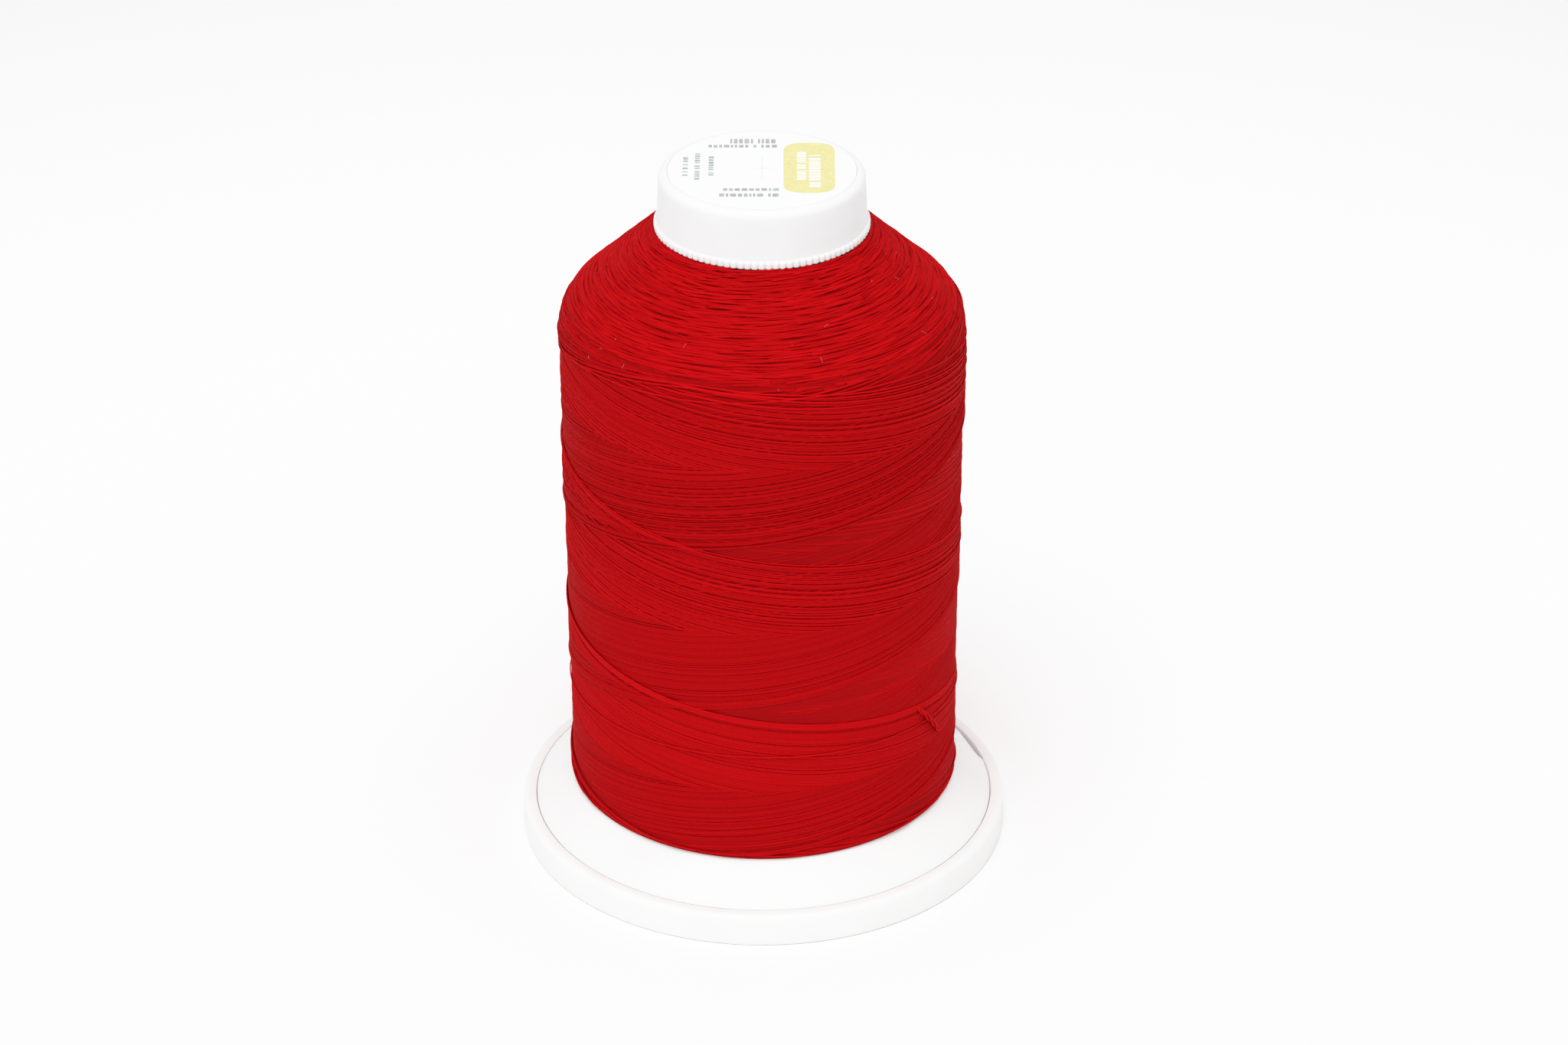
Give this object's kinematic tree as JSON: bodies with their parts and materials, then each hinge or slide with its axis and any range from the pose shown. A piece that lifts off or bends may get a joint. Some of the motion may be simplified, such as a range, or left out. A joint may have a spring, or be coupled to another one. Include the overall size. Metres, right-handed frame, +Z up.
{
  "type": "spool of thread",
  "caption": "Large free-standing spool of cross-wound sewing thread with a wide snap-fit base and a press-fit head cap under a round label.",
  "frame": {"origin": "centre of the base's footprint, on the surface the spool stands on", "axes": "+Z up along the spool's axis; +X and +Y lie on the table, -Y towards the front of the label"},
  "size_m": [0.0822, 0.0822, 0.1203],
  "materials": {
    "base_plastic": "satin white moulded polypropylene",
    "body_plastic": "satin white moulded polypropylene",
    "thread": "matte mercerised cotton, deep red",
    "cap_plastic": "satin white moulded polypropylene",
    "label_paper": "uncoated white paper with grey and pale gold print"
  },
  "bodies": {
    "base": {"snap_base": "base_plastic"},
    "spool": {"spool_body": "body_plastic", "thread_package": "thread", "head_cap": "cap_plastic", "top_label": "label_paper"}
  },
  "joints": [
    {"name": "base_snap", "type": "slide", "parent": "base", "child": "spool", "axis": [0, 0, 1], "range_m": [0, 0.003]}
  ]
}
